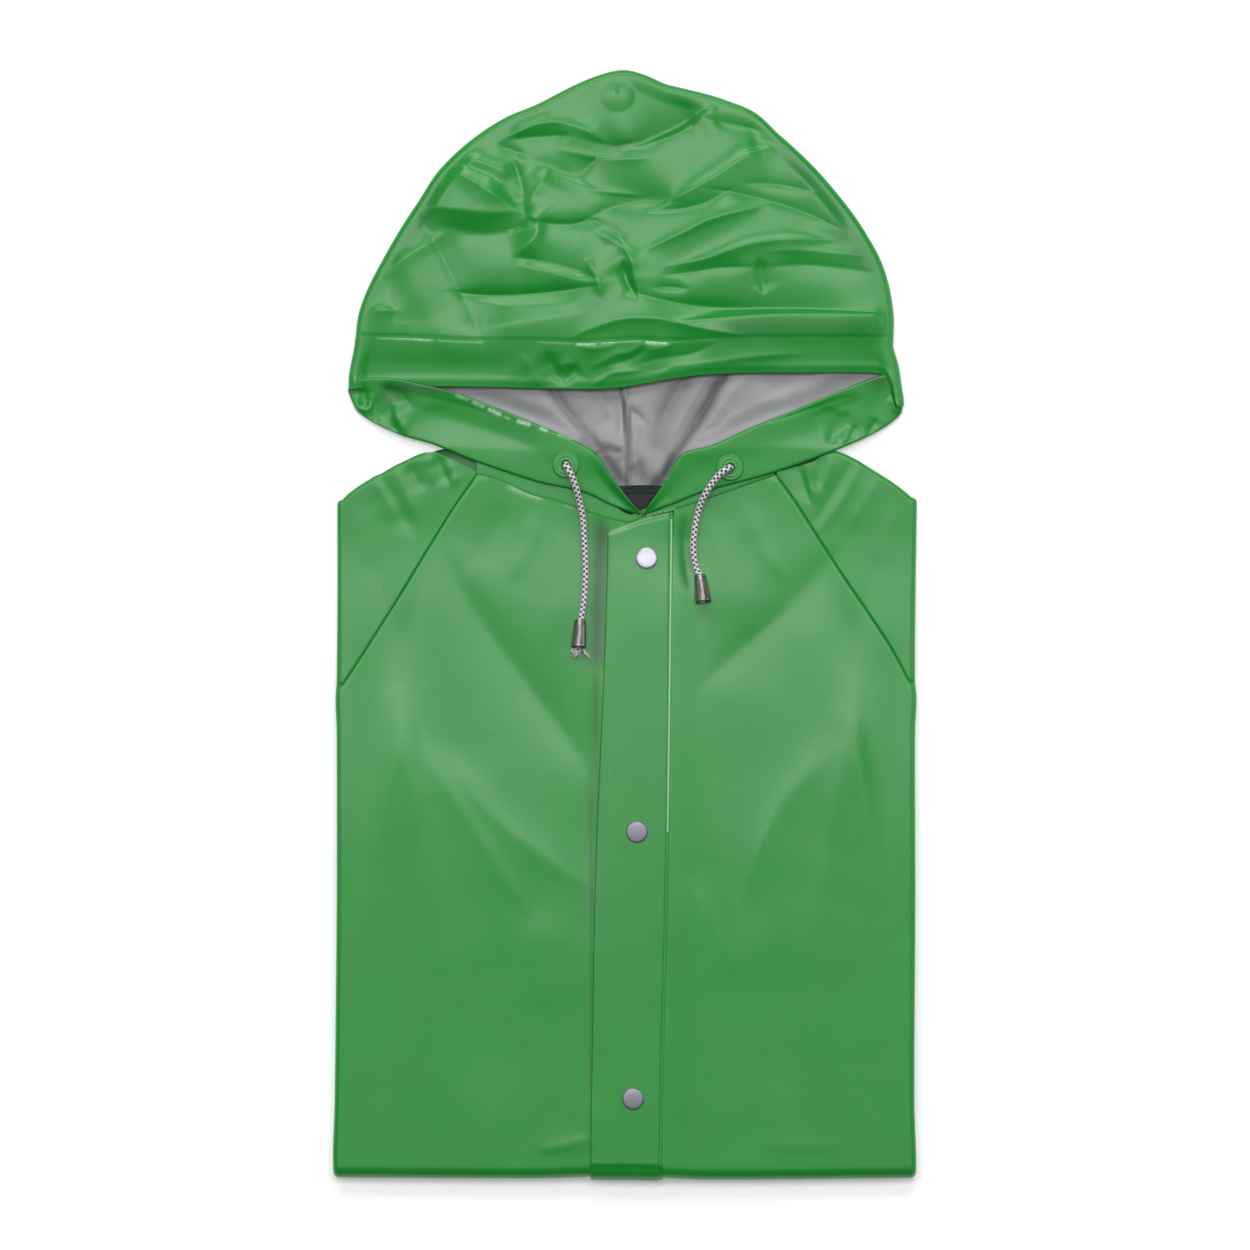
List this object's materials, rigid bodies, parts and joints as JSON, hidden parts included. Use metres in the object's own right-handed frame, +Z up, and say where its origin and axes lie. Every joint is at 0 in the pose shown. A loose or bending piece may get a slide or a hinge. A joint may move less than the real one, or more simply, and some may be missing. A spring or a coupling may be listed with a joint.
{
  "type": "hooded raincoat",
  "caption": "Hooded raincoat of coated cloth, folded flat with its front up; raglan sleeves folded behind, snap fly, hood laid out above with a drawcord in its casing.",
  "frame": {"origin": "on the surface that the coat lies on, under the centre of the folded coat's bounding box", "axes": "+X towards the wearer's left, +Y from the bottom fold to the top of the hood, +Z up from the surface"},
  "size_m": [0.3802, 0.7241, 0.0223],
  "materials": {
    "coated_green": "green cloth with a satin, nearly glossy waterproof coating",
    "lining_grey": "smooth grey uncoated inner face of the hood",
    "tape_black": "matt black woven tape",
    "cord_grey": "braided cord, pale grey with dark flecks",
    "bell_metal": "gun-metal grey, lightly brushed",
    "snap_metal": "pale grey satin metal"
  },
  "bodies": {
    "root": {"folded_layers": "coated_green", "front_right": "coated_green", "front_left": "coated_green", "sleeve_right": "coated_green", "sleeve_left": "coated_green", "placket": "coated_green", "collar_right": "coated_green", "collar_left": "coated_green", "neck_tape": "tape_black", "hood_back_right": "lining_grey", "hood_back_left": "lining_grey", "hood_crown_right": "coated_green", "hood_crown_left": "coated_green", "brim_casing": "coated_green", "casing_right": "coated_green", "casing_left": "coated_green", "eyelet_right": "coated_green", "eyelet_left": "coated_green", "snap_top": "snap_metal", "snap_middle": "snap_metal", "snap_bottom": "snap_metal", "drawcord_right": "cord_grey", "drawcord_left": "cord_grey", "cord_end_right": "bell_metal", "cord_end_left": "bell_metal"}
  },
  "joints": []
}
